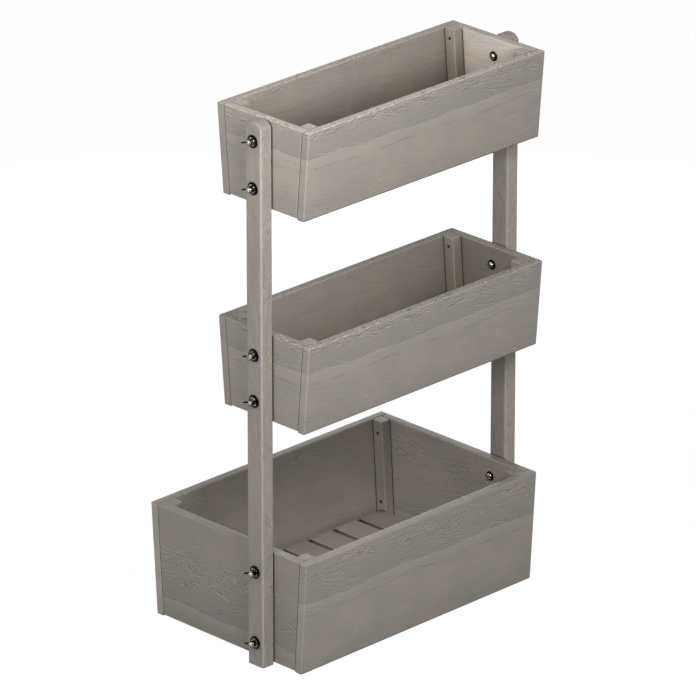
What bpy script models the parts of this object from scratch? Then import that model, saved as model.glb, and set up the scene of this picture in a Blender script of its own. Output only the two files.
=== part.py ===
"""Tiered wooden planter: three open boxes of grey-washed boards carried between
two flat posts. Each box is bolted to both posts through its end boards, and every
bolt is held by a wing nut on the outside. Sizes are in metres, +Z is up, the
front is towards -Y and the posts stand on z = 0."""

import math

import bmesh
import bpy
from mathutils import Matrix, Vector

# overall layout
BOX_LENGTH = 0.600          # length of the front and back boards, all three boxes
TOP_RIM = 1.053             # height of the top box's rim above the ground
MIDDLE_RIM = 0.645
LOWER_RIM = 0.221

# the two upper boxes are alike, the lower one is taller and much deeper
UPPER_HEIGHT = 0.170
UPPER_DEPTH = 0.232         # front to back over the rim
UPPER_LEAN = 0.014          # how far each long board leans in towards its foot
LOWER_HEIGHT = LOWER_RIM
LOWER_DEPTH = 0.405
LOWER_LEAN = 0.0135

# front to back places, measured from the middle of the whole planter
UPPER_CENTRE_Y = -0.0912
LOWER_CENTRE_Y = 0.0047
POST_CENTRE_Y = -0.0960

# timber sections
LONG_BOARD = 0.017          # thickness of the front and back boards
END_BOARD = 0.018
END_LIFT = 0.0025           # the end boards stop this far above the boxes' undersides
BATTEN_WIDE = 0.024         # corner batten along the end board
BATTEN_THICK = 0.022        # corner batten along the long board
BOARD_EASE = 0.0018         # rounding of the sawn edges
STRIP_EASE = 0.0010
EASE_STEPS = 2

# posts
POST_WIDTH = 0.040
POST_THICK = 0.029
POST_TOP = 1.055
POST_CROWN = 0.015          # rise of the rounded top over its shoulders
POST_EASE = 0.0045          # rounding of the long edges and the crown, the foot stays square
POST_EASE_STEPS = 3
CROWN_STEPS = 14

# slatted floors
FLOOR_TOP = 0.041           # upper face of the slats above the box's underside
SLAT_COUNT = 8
SLAT_THICK = 0.010
SLAT_GAP = 0.0102
SLAT_END_ROOM = 0.0085      # free space between a slat's end and the long board
LEDGE_HIGH = 0.020
LEDGE_DEEP = 0.020

# fasteners, six millimetre thread
THREAD_RADIUS = 0.003
HOLE_ROOM = 0.0003          # radial room of the shank in its holes
BOLT_BELOW_RIM = 0.035
BOLT_ABOVE_FOOT = 0.046
HEAD_BRIM_RADIUS = 0.009
HEAD_BRIM = 0.0013
HEAD_DOME_RADIUS = 0.0068
HEAD_DOME = 0.0042
BOLT_TIP_OUT = 0.0022       # thread standing out of the wing nut
BOLT_TIP_CHAMFER = 0.0008
WASHER_RADIUS = 0.012
WASHER_THICK = 0.0016
BOSS_ROOT_RADIUS = 0.0066
BOSS_TOP_RADIUS = 0.0050
BOSS_HEIGHT = 0.0082
BOSS_LIP = 0.0005           # chamfer round the boss's top
WING_FOOT = 0.0016          # plain foot of the boss under the wings
WING_THICK = 0.0024
WING_TILT = math.radians(-8)     # how the nuts were left, back wing a little low
ROUND_STEPS = 20
BORE_STEPS = 20
DOME_STEPS = 3

FIT = 0.0003                # gap between neighbouring pieces
EASED_BEND = math.radians(50)    # edges that turn more than this are eased
SHARP_BEND = math.radians(35)    # edges that turn more than this are shaded as edges
WELD = 0.00001                   # points nearer than this are one point

HOLE_RADIUS = THREAD_RADIUS + HOLE_ROOM
HALF_LENGTH = BOX_LENGTH / 2
POST_INNER_X = HALF_LENGTH + FIT
POST_OUTER_X = POST_INNER_X + POST_THICK
END_INNER_X = HALF_LENGTH - END_BOARD
BATTEN_OUTER_X = END_INNER_X - FIT
BATTEN_INNER_X = BATTEN_OUTER_X - BATTEN_THICK
FLOOR_HALF = BATTEN_INNER_X - FIT

SIDES = (("left", -1), ("right", 1))
FACES = (("front", -1), ("back", 1))

# a wing's outline: distance from the bolt's axis, its low and its high edge
WING_STATIONS = (
    (0.0072, 0.0046, 0.0100),
    (0.0092, 0.0062, 0.0128),
    (0.0112, 0.0070, 0.0144),
    (0.0130, 0.0080, 0.0146),
    (0.0142, 0.0100, 0.0132),
)


class Tier:
    """One box: its place, its section and the heights of its bolts."""

    def __init__(self, name, rim, height, depth, lean, centre_y):
        self.name = name
        self.foot = rim - height
        self.height = height
        self.depth = depth
        self.lean = lean
        self.centre_y = centre_y
        self.bolts = (("upper", height - BOLT_BELOW_RIM), ("lower", BOLT_ABOVE_FOOT))

    def outer(self, z):
        """Half depth over the long boards' outer faces, z above the box's foot."""
        return self.depth / 2 - self.lean * (1 - z / self.height)

    def inner(self, z):
        """Half depth between the long boards' inner faces."""
        return self.outer(z) - LONG_BOARD


TIERS = (
    Tier("top", TOP_RIM, UPPER_HEIGHT, UPPER_DEPTH, UPPER_LEAN, UPPER_CENTRE_Y),
    Tier("middle", MIDDLE_RIM, UPPER_HEIGHT, UPPER_DEPTH, UPPER_LEAN, UPPER_CENTRE_Y),
    Tier("lower", LOWER_RIM, LOWER_HEIGHT, LOWER_DEPTH, LOWER_LEAN, LOWER_CENTRE_Y),
)


def remove_everything():
    for obj in list(bpy.data.objects):
        bpy.data.objects.remove(obj, do_unlink=True)


def make_material(name, colour, roughness, metallic):
    material = bpy.data.materials.new(name)
    material.use_nodes = True
    shader = material.node_tree.nodes["Principled BSDF"]
    shader.inputs["Base Color"].default_value = (*colour, 1.0)
    shader.inputs["Roughness"].default_value = roughness
    shader.inputs["Metallic"].default_value = metallic
    material.diffuse_color = (*colour, 1.0)
    return material


def board_wood():
    return make_material("grey_washed_board", (0.235, 0.205, 0.172), 0.62, 0.0)


def post_wood():
    return make_material("grey_washed_post", (0.265, 0.235, 0.200), 0.60, 0.0)


def batten_wood():
    return make_material("grey_washed_batten", (0.210, 0.180, 0.148), 0.64, 0.0)


def slat_wood():
    return make_material("grey_washed_slat", (0.200, 0.172, 0.145), 0.66, 0.0)


def bright_nut():
    return make_material("bright_plated_nut", (0.72, 0.71, 0.69), 0.16, 1.0)


def bright_bolt():
    return make_material("bright_plated_bolt", (0.62, 0.61, 0.59), 0.22, 1.0)


def add_frame(name, location):
    frame = bpy.data.objects.new(name, None)
    frame.empty_display_size = 0.05
    frame.location = location
    bpy.context.scene.collection.objects.link(frame)
    return frame


def add_object(name, mesh, parent, material, location=(0, 0, 0), turn=0.0):
    """A piece with its own place under its frame, turned about the vertical."""
    piece = bpy.data.objects.new(name, mesh)
    bpy.context.scene.collection.objects.link(piece)
    piece.parent = parent
    piece.location = location
    piece.rotation_euler = (0, 0, turn)
    if material is not None and not mesh.materials:
        mesh.materials.append(material)
    return piece


def close_mesh(bm, name):
    bmesh.ops.recalc_face_normals(bm, faces=bm.faces)
    mesh = bpy.data.meshes.new(name)
    bm.to_mesh(mesh)
    bm.free()
    return mesh


def prism(bm, outline, x_from, x_to):
    """A solid with the given outline in the YZ plane, running along X."""
    corners = [bm.verts.new((x_from, y, z)) for y, z in outline]
    base = bm.faces.new(corners)
    grown = bmesh.ops.extrude_face_region(bm, geom=[base])
    moved = [item for item in grown["geom"] if isinstance(item, bmesh.types.BMVert)]
    bmesh.ops.translate(bm, verts=moved, vec=(x_to - x_from, 0, 0))


def strip_mesh(name, outline, x_from, x_to):
    bm = bmesh.new()
    prism(bm, outline, x_from, x_to)
    return close_mesh(bm, name)


def ease_edges(piece, width, steps):
    """Rounds the sawn edges; shallow bends of a curved outline stay as they are."""
    bevel = piece.modifiers.new("eased_edges", "BEVEL")
    bevel.width = width
    bevel.segments = steps
    bevel.limit_method = "ANGLE"
    bevel.angle_limit = EASED_BEND
    bevel.miter_outer = "MITER_SHARP"


def ease_marked_edges(piece, width, steps, foot):
    """Rounds the long edges and the crown, but not the edges round the sawn foot."""
    bm = bmesh.new()
    bm.from_mesh(piece.data)
    marks = bm.edges.layers.float.new("bevel_weight_edge")
    for edge in bm.edges:
        at_foot = all(abs(vert.co.z - foot) < WELD for vert in edge.verts)
        if edge.calc_face_angle() > EASED_BEND and not at_foot:
            edge[marks] = 1.0
    bm.to_mesh(piece.data)
    bm.free()
    ease_edges(piece, width, steps)
    piece.modifiers["eased_edges"].limit_method = "WEIGHT"


def drill(piece, cutter):
    cut = piece.modifiers.new("bolt_holes", "BOOLEAN")
    cut.operation = "DIFFERENCE"
    cut.solver = "EXACT"
    cut.object = cutter


def add_drill_rods(name, parent, heights, centre_y):
    """Guide rods along X at the bolts' places, used to bore the holes."""
    bm = bmesh.new()
    reach = POST_OUTER_X + POST_THICK
    for z in heights:
        place = Matrix.Translation((0, centre_y, z)) @ Matrix.Rotation(math.pi / 2, 4, "Y")
        bmesh.ops.create_cone(
            bm, cap_ends=True, segments=BORE_STEPS, radius1=HOLE_RADIUS,
            radius2=HOLE_RADIUS, depth=2 * reach, matrix=place)
    rods = add_object(name, close_mesh(bm, name), parent, None)
    rods.hide_render = True
    rods.display_type = "WIRE"
    return rods


def long_board_outline(tier, side):
    top = tier.height
    return (
        (side * tier.outer(0), 0),
        (side * tier.outer(top), top),
        (side * tier.inner(top), top),
        (side * tier.inner(0), 0),
    )


def ledge_outline(tier, side, inset):
    """Section of the strip under the slats' ends, inset from the long board's face."""
    high = FLOOR_TOP - SLAT_THICK - FIT
    low = high - LEDGE_HIGH
    return (
        (side * (tier.inner(low) - inset), low),
        (side * (tier.inner(high) - inset), high),
        (side * (tier.inner(high) - LEDGE_DEEP), high),
        (side * (tier.inner(high) - LEDGE_DEEP), low),
    )


def add_long_boards(tier, frame, material):
    for face, side in FACES:
        name = f"{tier.name}_{face}_board"
        mesh = strip_mesh(name, long_board_outline(tier, side), -HALF_LENGTH, HALF_LENGTH)
        board = add_object(name, mesh, frame, material)
        ease_edges(board, BOARD_EASE, EASE_STEPS)
        if tier.name == "lower":
            join_ledge(tier, side, board, frame)


def join_ledge(tier, side, board, frame):
    """The lower box's slats rest on a strip glued along each long board."""
    name = f"{board.name}_ledge_guide"
    overlap = -LONG_BOARD / 2
    mesh = strip_mesh(name, ledge_outline(tier, side, overlap), -FLOOR_HALF, FLOOR_HALF)
    ledge = add_object(name, mesh, frame, None)
    ledge.hide_render = True
    ledge.display_type = "WIRE"
    join = board.modifiers.new("glued_ledge", "BOOLEAN")
    join.operation = "UNION"
    join.solver = "EXACT"
    join.object = ledge


def add_end_boards(tier, frame, rods, material):
    top = tier.height
    half_top = tier.inner(top) - FIT
    half_foot = tier.inner(END_LIFT) - FIT
    outline = (
        (-half_foot, END_LIFT),
        (-half_top, top),
        (half_top, top),
        (half_foot, END_LIFT),
    )
    for side_name, side in SIDES:
        name = f"{tier.name}_{side_name}_end_board"
        near, far = sorted((side * END_INNER_X, side * HALF_LENGTH))
        board = add_object(name, strip_mesh(name, outline, near, far), frame, material)
        ease_edges(board, BOARD_EASE, EASE_STEPS)
        drill(board, rods)


def add_battens(tier, frame, material):
    """Four upright strips that tie the end boards to the leaning long boards."""
    top = tier.height
    for side_name, side in SIDES:
        near, far = sorted((side * BATTEN_INNER_X, side * BATTEN_OUTER_X))
        for face, sign in FACES:
            outline = (
                (sign * (tier.inner(END_LIFT) - FIT), END_LIFT),
                (sign * (tier.inner(top) - FIT), top),
                (sign * (tier.inner(top) - FIT - BATTEN_WIDE), top),
                (sign * (tier.inner(END_LIFT) - FIT - BATTEN_WIDE), END_LIFT),
            )
            name = f"{tier.name}_batten_{face}_{side_name}"
            batten = add_object(name, strip_mesh(name, outline, near, far), frame, material)
            ease_edges(batten, STRIP_EASE, 1)


def slat_outline(tier):
    low = FLOOR_TOP - SLAT_THICK
    half = tier.inner(low) - SLAT_END_ROOM
    return ((-half, low), (-half, FLOOR_TOP), (half, FLOOR_TOP), (half, low))


def slat_spans():
    """Left and right edge of every slat, evenly spread between the battens."""
    width = (2 * FLOOR_HALF - (SLAT_COUNT - 1) * SLAT_GAP) / SLAT_COUNT
    for index in range(SLAT_COUNT):
        start = -FLOOR_HALF + index * (width + SLAT_GAP)
        yield start, start + width


def add_loose_slats(tier, frame, material):
    for index, (start, end) in enumerate(slat_spans(), start=1):
        name = f"{tier.name}_floor_slat_{index}"
        slat = add_object(name, strip_mesh(name, slat_outline(tier), start, end), frame, material)
        ease_edges(slat, STRIP_EASE, 1)


def add_floor_rack(tier, frame, material):
    """Slats glued across two strips, lifted into the box as one rack."""
    name = f"{tier.name}_floor_rack"
    bm = bmesh.new()
    for start, end in slat_spans():
        prism(bm, slat_outline(tier), start, end)
    slats = add_object(f"{name}_slat_guide", close_mesh(bm, f"{name}_slats"), frame, None)
    slats.hide_render = True
    slats.display_type = "WIRE"
    bm = bmesh.new()
    for _, sign in FACES:
        outline = list(ledge_outline(tier, sign, FIT))
        # the strips reach a little way into the slats, so that the two join
        outline[1] = (outline[1][0], FLOOR_TOP - SLAT_THICK / 2)
        outline[2] = (outline[2][0], FLOOR_TOP - SLAT_THICK / 2)
        prism(bm, outline, -FLOOR_HALF, FLOOR_HALF)
    rack = add_object(name, close_mesh(bm, name), frame, material)
    join = rack.modifiers.new("glued_slats", "BOOLEAN")
    join.operation = "UNION"
    join.solver = "EXACT"
    join.object = slats


def post_outline():
    """Straight sides, with an oval crown over the shoulders."""
    half = POST_WIDTH / 2
    shoulder = POST_TOP - POST_CROWN
    points = [(half, 0), (-half, 0)]
    for step in range(CROWN_STEPS + 1):
        angle = math.pi * (1 - step / CROWN_STEPS)
        points.append((half * math.cos(angle), shoulder + POST_CROWN * math.sin(angle)))
    return points


def add_posts(material):
    frame = add_frame("post_frame", (0, POST_CENTRE_Y, 0))
    heights = [tier.foot + z for tier in TIERS for _, z in tier.bolts]
    rods = add_drill_rods("post_drill_guide", frame, heights, 0)
    for side_name, side in SIDES:
        name = f"post_{side_name}"
        near, far = sorted((side * POST_INNER_X, side * POST_OUTER_X))
        post = add_object(name, strip_mesh(name, post_outline(), near, far), frame, material)
        ease_marked_edges(post, POST_EASE, POST_EASE_STEPS, 0.0)
        drill(post, rods)


def lathe(profile, steps):
    """A ring-shaped or solid body turned about X from (x, radius) pairs."""
    bm = bmesh.new()
    first = []
    for x, radius in profile:
        first.append(bm.verts.new((x, radius, 0)))
    edges = [bm.edges.new(pair) for pair in zip(first, first[1:])]
    closed = profile[0][1] > 0
    if closed:
        edges.append(bm.edges.new((first[-1], first[0])))
    # half a step of turn puts the middle of a facet on each side of the axis
    turn = Matrix.Rotation(math.pi / steps, 3, "X")
    bmesh.ops.rotate(bm, verts=bm.verts, cent=(0, 0, 0), matrix=turn)
    bmesh.ops.spin(
        bm, geom=first + edges, cent=(0, 0, 0), axis=(1, 0, 0),
        angle=2 * math.pi, steps=steps, use_merge=True)
    bmesh.ops.remove_doubles(bm, verts=bm.verts, dist=WELD)
    return bm


def bolt_mesh(shank_end):
    """Low domed head with a brim, plain shank and a chamfered tip. x = 0 is the
    underside of the head and the shank runs towards +X."""
    profile = [(-HEAD_BRIM - HEAD_DOME, 0.0)]
    for step in range(1, DOME_STEPS + 1):
        angle = math.pi / 2 * step / DOME_STEPS
        reach = HEAD_DOME * math.cos(angle)
        profile.append((-HEAD_BRIM - reach, HEAD_DOME_RADIUS * math.sin(angle)))
    profile += [
        (-HEAD_BRIM, HEAD_BRIM_RADIUS),
        (0.0, HEAD_BRIM_RADIUS),
        (0.0, THREAD_RADIUS),
        (shank_end - BOLT_TIP_CHAMFER, THREAD_RADIUS),
        (shank_end, THREAD_RADIUS - BOLT_TIP_CHAMFER),
        (shank_end, 0.0),
    ]
    mesh = close_mesh(lathe(profile, ROUND_STEPS), "bolt")
    return smooth_round(mesh)


def boss_radius(height):
    """The boss tapers evenly towards its top."""
    return BOSS_ROOT_RADIUS + (BOSS_TOP_RADIUS - BOSS_ROOT_RADIUS) * height / BOSS_HEIGHT


def nut_profile():
    wing_head = BOSS_HEIGHT - BOSS_LIP
    wing_middle = (WING_FOOT + wing_head) / 2
    profile = [(0.0, HOLE_RADIUS), (0.0, WASHER_RADIUS), (WASHER_THICK, WASHER_RADIUS)]
    for height in (0.0, WING_FOOT, wing_middle, wing_head):
        profile.append((WASHER_THICK + height, boss_radius(height)))
    top = WASHER_THICK + BOSS_HEIGHT
    profile += [(top, BOSS_TOP_RADIUS - BOSS_LIP), (top, HOLE_RADIUS)]
    return profile


def wing_facets(bm, side):
    """The block of boss facets that looks along the wing, between foot and lip."""
    low = WASHER_THICK + WING_FOOT
    high = WASHER_THICK + BOSS_HEIGHT - BOSS_LIP
    # one facet on the wing's line and one on either side of it
    spread = math.cos(3 * math.pi / ROUND_STEPS)
    facets = []
    for face in bm.faces:
        centre = face.calc_center_median()
        looks_out = side * face.normal.y > spread and side * centre.y > 0
        if looks_out and low < centre.x < high:
            facets.append(face)
    return facets


def set_wing_section(verts, reach, edge_low, edge_high):
    """Lays a drawn-out block of points evenly over the wing's section at a station."""
    rows = {}
    for vert in verts:
        rows.setdefault(round(vert.co.x / WELD), []).append(vert)
    for row, key in enumerate(sorted(rows)):
        height = edge_low + (edge_high - edge_low) * row / (len(rows) - 1)
        columns = sorted(rows[key], key=lambda vert: vert.co.z)
        for column, vert in enumerate(columns):
            across = WING_THICK * (column / (len(columns) - 1) - 0.5)
            vert.co = Vector((height, reach, across))


def grow_wing(bm, side):
    """Draws the facets on one side of the boss out into a rounded wing."""
    facets = wing_facets(bm, side)
    for reach, edge_low, edge_high in WING_STATIONS:
        grown = bmesh.ops.extrude_face_region(bm, geom=facets)
        bmesh.ops.delete(bm, geom=facets, context="FACES")
        verts = [item for item in grown["geom"] if isinstance(item, bmesh.types.BMVert)]
        facets = [item for item in grown["geom"] if isinstance(item, bmesh.types.BMFace)]
        set_wing_section(verts, side * reach, edge_low, edge_high)


def wing_nut_mesh():
    """A wing nut standing on its washer. x = 0 is the washer's seat, the boss and
    the wings rise towards +X and the wings spread along Y."""
    bm = lathe(nut_profile(), ROUND_STEPS)
    bmesh.ops.recalc_face_normals(bm, faces=bm.faces)
    for side in (-1, 1):
        bm.normal_update()
        grow_wing(bm, side)
    mesh = close_mesh(bm, "wing_nut")
    return smooth_round(mesh)


def smooth_round(mesh):
    for polygon in mesh.polygons:
        polygon.use_smooth = True
    mesh.set_sharp_from_angle(angle=SHARP_BEND)
    return mesh


def add_fasteners(bolt_material, nut_material):
    nut_seat = POST_OUTER_X + FIT
    head_seat = END_INNER_X - FIT
    shank = nut_seat + WASHER_THICK + BOSS_HEIGHT + BOLT_TIP_OUT - head_seat
    bolt = bolt_mesh(shank)
    bolt.materials.append(bolt_material)
    nut = wing_nut_mesh()
    nut.materials.append(nut_material)
    for tier in TIERS:
        for side_name, side in SIDES:
            turn = 0.0 if side > 0 else math.pi
            for level, z in tier.bolts:
                axis = add_frame(
                    f"{tier.name}_{side_name}_{level}_axis",
                    (0, POST_CENTRE_Y, tier.foot + z))
                axis.rotation_euler = (WING_TILT, 0, 0)
                label = f"{tier.name}_{side_name}_{level}"
                add_object(f"bolt_{label}", bolt, axis, None, (side * head_seat, 0, 0), turn)
                add_object(f"wing_nut_{label}", nut, axis, None, (side * nut_seat, 0, 0), turn)


def build():
    remove_everything()
    board = board_wood()
    batten = batten_wood()
    slat = slat_wood()
    for tier in TIERS:
        frame = add_frame(f"{tier.name}_box_frame", (0, tier.centre_y, tier.foot))
        heights = [z for _, z in tier.bolts]
        rods = add_drill_rods(
            f"{tier.name}_drill_guide", frame, heights, POST_CENTRE_Y - tier.centre_y)
        add_long_boards(tier, frame, board)
        add_end_boards(tier, frame, rods, board)
        add_battens(tier, frame, batten)
        if tier.name == "lower":
            add_loose_slats(tier, frame, slat)
        else:
            add_floor_rack(tier, frame, slat)
    add_posts(post_wood())
    add_fasteners(bright_bolt(), bright_nut())


build()
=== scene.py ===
"""Looks of a tiered planter: grey-washed fir boards on two posts, held by plated bolts
and wing nuts, in a plain pale studio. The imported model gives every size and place."""

import functools
import math

import bmesh
import bpy
from bpy.props import FloatProperty, FloatVectorProperty, IntProperty, PointerProperty
from mathutils import Matrix, Vector


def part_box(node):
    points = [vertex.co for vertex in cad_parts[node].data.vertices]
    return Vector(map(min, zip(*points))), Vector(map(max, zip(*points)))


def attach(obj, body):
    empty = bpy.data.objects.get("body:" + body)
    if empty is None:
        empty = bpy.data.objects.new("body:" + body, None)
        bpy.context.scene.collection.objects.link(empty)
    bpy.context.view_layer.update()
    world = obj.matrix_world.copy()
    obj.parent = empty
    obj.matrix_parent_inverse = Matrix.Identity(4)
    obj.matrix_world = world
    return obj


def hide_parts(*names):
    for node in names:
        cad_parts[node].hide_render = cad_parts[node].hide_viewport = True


bl_info = {
    "name": "Grey-washed Tiered Planter",
    "version": (1, 0, 0),
    "blender": (4, 5, 0),
    "location": "3D View > Sidebar > Planter",
    "description": "Dresses the packed planter with washed fir, plated fasteners and a studio",
    "category": "Object",
}

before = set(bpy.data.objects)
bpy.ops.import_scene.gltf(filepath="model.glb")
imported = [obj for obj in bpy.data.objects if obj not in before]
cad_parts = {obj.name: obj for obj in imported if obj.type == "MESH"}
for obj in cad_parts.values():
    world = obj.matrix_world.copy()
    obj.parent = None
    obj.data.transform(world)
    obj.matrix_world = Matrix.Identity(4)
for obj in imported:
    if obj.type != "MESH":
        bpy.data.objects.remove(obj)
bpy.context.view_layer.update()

MM = 0.001
TIERS = ("top", "middle", "lower")
SIDES = ("left", "right")
LEVELS = ("upper", "lower")
FACES = ("front", "back")
WOOD_BODY = "planter"

# the camera of the photograph, solved from the boards' corners
VIEW_TARGET = Vector((0.0086, 0.0047, 0.49475))
VIEW_AZIMUTH = math.radians(-45.0)
VIEW_ELEVATION = math.radians(22.65)
VIEW_DISTANCE = 12.9636
FOCAL_LENGTH = 366.72
SENSOR = 36.0
FAR_CLIP = 100.0

# each lamp's name, place, width in metres and share of the key light's power: the back
# light stays low, so that it reaches the planter's far sides and not the rims
LAMPS = (
    ("key_light", (-0.65, -1.33, 1.60), 0.7, 1.0),
    ("side_light", (-1.7, -0.2, 1.6), 0.6, 0.65),
    ("back_light", (1.7, 1.6, 0.3), 0.5, 1.5))
LAMP_AIM = (0.0, 0.0, 0.6)
FLOOR_REACH = 8.0

# the fasteners' own sizes, in millimetres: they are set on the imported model's seats
ROUND_STEPS = 48
THREAD_RADIUS = 3.0
THREAD_PITCH = 1.0
THREAD_DEPTH = 0.6
THREAD_CORE = THREAD_RADIUS - THREAD_DEPTH
THREAD_FLANK = 0.42
THREAD_STEPS = 20
WASHER_BORE = 3.3
WASHER_ROLL = 0.35
NUT_WASHER_RADIUS = 12.0
NUT_WASHER_THICK = 1.6
HEAD_WASHER_RADIUS = 9.0
HEAD_WASHER_THICK = 1.3
STAR_BORE = 3.4
STAR_RADIUS = 6.9
STAR_THICK = 0.8
STAR_GAP = 0.1
STAR_TEETH = 12
TOOTH_REACH = 1.6
TOOTH_TWIST = math.radians(24)
HEAD_RADIUS = 6.0
HEAD_HIGH = 4.4
HEAD_EDGE = 0.5
HEAD_BRIM = 5.5
WING_TILT = math.radians(-8)

# a boss turned about the bolt, in (height, radius) pairs, and the wings' sections at
# each distance from the bolt: low edge, high edge and thickness
NUT_BORE = THREAD_RADIUS + 0.25
NUT_FACETS = 16
NUT_PROFILE = (
    (0.0, NUT_BORE), (0.0, 6.3), (0.25, 6.6), (1.6, 6.5), (3.6, 6.1), (5.6, 5.7),
    (7.6, 5.2), (8.1, 4.8), (8.2, 4.4), (8.2, NUT_BORE + 0.4), (7.9, NUT_BORE))
WING_ROOT = (1.6, 7.6)
WING_SECTIONS = (
    (6.6, 3.0, 7.6, 3.2), (8.0, 4.2, 9.6, 2.5), (10.0, 5.2, 11.9, 2.2),
    (12.0, 6.2, 13.2, 2.2), (13.6, 7.8, 12.8, 2.0), (14.2, 9.2, 11.6, 1.5))
GLINT_REACH = 7.0

# the battens' screws, in millimetres: below the rim, and above the board's foot
BATTEN_WIDE = 24.0
SCREW_BELOW_RIM = {"top": 18.0, "middle": 18.0, "lower": 25.0}
SCREW_ABOVE_FOOT = 58.0
SCREW_HIGH = 0.9
SCREW_EDGE = 0.2

# how far the paler edge, partly bare wood and partly a painted highlight, reaches in from an
# edge, and how near a face must stand to paint shade into a joint
BOARD_EDGE = 0.0020
POST_EDGE = 0.0030
POST_WEAR_AND_HIGHLIGHT = 0.2
BOARD_CREASE = 0.003
SLAT_CREASE = 0.022

# no two boards took the wash alike, and the light is painted on too: tones of the long boards,
# the end boards and the posts, partly the wash and partly painted light and shade; and painted
# light and shade alone on the right ends' inner faces and on the front and back rims
LONG_TONE_AND_LIGHT = {
    "front": {"top": 1.02, "middle": 1.06, "lower": 1.08},
    "back": {"top": 1.03, "middle": 0.97, "lower": 1.22}}
END_TONE_AND_LIGHT = {"top": 1.08, "middle": 1.02, "lower": 0.93}
INNER_LIGHT = {"top": 1.70, "middle": 0.80, "lower": 1.30}
POST_TONE_AND_LIGHT = {"left": 0.95, "right": 1.05}
RIM_LIGHT = {"top": (1.54, 1.41), "middle": (0.87, 0.77), "lower": (0.77, 0.66)}

# where the marks lie on a board, in millimetres below its rim; FAR keeps one off it
FAR = 9000.0
UPPER_MARKS = {"Band Foot": 52.0, "Figure Line": 7.0, "Figure Reach": 10.0}
LOWER_MARKS = {"Band Foot": 80.0, "Figure Line": 27.0, "Figure Reach": 13.0}
BACK_MARKS = {"Band": 0.2, "Figure": 0.45}
UPPER_RIGHT_MARKS = {"Band": 0.3, "Figure": 0.35}
LOWER_END_MARKS = {
    "Band Top": 95.0, "Band Foot": 180.0, "Figure Line": 105.0, "Figure Reach": 32.0}
LOWER_RIGHT_MARKS = {"Figure Line": 45.0, "Figure Reach": 26.0}
# the posts' front faces are painted lighter, as painted light
POST_MARKS = {
    "Band": 0.2, "Band Top": -FAR, "Band Foot": FAR, "Foot": FAR, "Figure Line": -FAR,
    "Streaks": 3.4, "Front": 1.12}
STRIP_MARKS = {"Band": 0.0, "Foot": FAR, "Figure Line": -FAR, "Streaks": 1.6}

# what the grain starts from where a board's marks don't say otherwise
GRAIN_DEFAULTS = {
    "Band Top": 0.0, "Band Foot": 52.0, "Band": 0.8, "Foot": 170.0, "Figure Line": 8.0,
    "Figure Reach": 10.0, "Figure": 1.0, "Streaks": 1.0, "Tone": 1.0, "Rim": 1.0,
    "Front": 1.0, "Left": 1.0}

# rows of a turn that puts the grain, the way across it and the thickness on x, y and z
GRAIN_ALONG_X = ((1, 0, 0), (0, 0, -1), (0, 1, 0))
GRAIN_ALONG_Y = ((0, 1, 0), (0, 0, -1), (-1, 0, 0))
GRAIN_ALONG_Z = ((0, 0, 1), (0, 1, 0), (-1, 0, 0))
SLAT_ALONG_Y = ((0, 1, 0), (1, 0, 0), (0, 0, -1))

# kinds of node that many patterns use, and a colour Mix node's sockets
MATH = "ShaderNodeMath"
VECTOR_MATH = "ShaderNodeVectorMath"
RANGE = "ShaderNodeMapRange"
MIX = "ShaderNodeMix"
SHARE, UNDER, OVER = 0, 6, 7


def linear(hex_colour):
    """An sRGB hex colour as linear red, green, blue and alpha."""
    parts = [int(hex_colour[i:i + 2], 16) / 255 for i in (1, 3, 5)]
    straight = [((c + 0.055) / 1.055) ** 2.4 if c > 0.04045 else c / 12.92 for c in parts]
    return (*straight, 1.0)


def plug(tree, node, inputs):
    """Fills a node's sockets. Each takes a plain value, or a link from a socket or from
    the first output of a node that is in use."""
    for key, source in inputs.items():
        if isinstance(source, bpy.types.Node):
            source = next(output for output in source.outputs if output.enabled)
        if isinstance(source, bpy.types.NodeSocket):
            tree.links.new(source, node.inputs[key])
        else:
            node.inputs[key].default_value = source


def add_node(tree, kind, inputs=None, **settings):
    """Adds a node of a kind, sets its properties and fills its sockets."""
    node = tree.nodes.new(kind)
    for name, value in settings.items():
        setattr(node, name, value)
    plug(tree, node, inputs or {})
    return node


def new_material(name):
    """A material with its shader, and the function that adds nodes to its tree."""
    material = bpy.data.materials.new(name)
    material.use_nodes = True
    tree = material.node_tree
    return material, tree.nodes["Principled BSDF"], functools.partial(add_node, tree)


class PlanterWood(bpy.types.PropertyGroup):
    """What a user may change of the wood."""
    plain: FloatVectorProperty(
        name="Plain wood", description="Warm grey of the quiet parts of a board",
        subtype="COLOR", size=3, min=0.0, max=1.0, default=linear("#99938C")[:3])
    # the paler edges are partly bare wood and partly a painted highlight
    wear_and_highlight: FloatProperty(
        name="Edge wear and highlight", description="Share of bare wood that shows along the edges",
        subtype="FACTOR", default=0.75, min=0.0, max=1.0)
    drift: FloatProperty(
        name="Grain drift", description="How far the grain lines wander, in metres",
        default=0.022, min=0.0, max=0.1, unit="LENGTH")
    bump: FloatProperty(
        name="Grain relief", description="Depth of the raised grain, in metres",
        default=0.0003, min=0.0, max=0.002, unit="LENGTH")


class PlanterFasteners(bpy.types.PropertyGroup):
    """What a user may change of the bolts and screws."""
    thread_turns: IntProperty(
        name="Thread turns", description="Turns of thread cut on the end of each bolt",
        default=12, min=2, max=30)
    screw_radius: FloatProperty(
        name="Screw head radius", description="Radius of the batten screws' heads, in metres",
        default=0.0030, min=0.001, max=0.006, unit="LENGTH")


class PlanterStudio(bpy.types.PropertyGroup):
    """What a user may change of the light."""
    key_power: FloatProperty(
        name="Key light", description="Power of the front left light, which the others follow",
        default=20.5, min=0.0, max=1000.0, unit="POWER")
    fill: FloatProperty(
        name="Fill light", description="Strength of the even light from all round",
        default=0.24, min=0.0, max=5.0)


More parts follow.
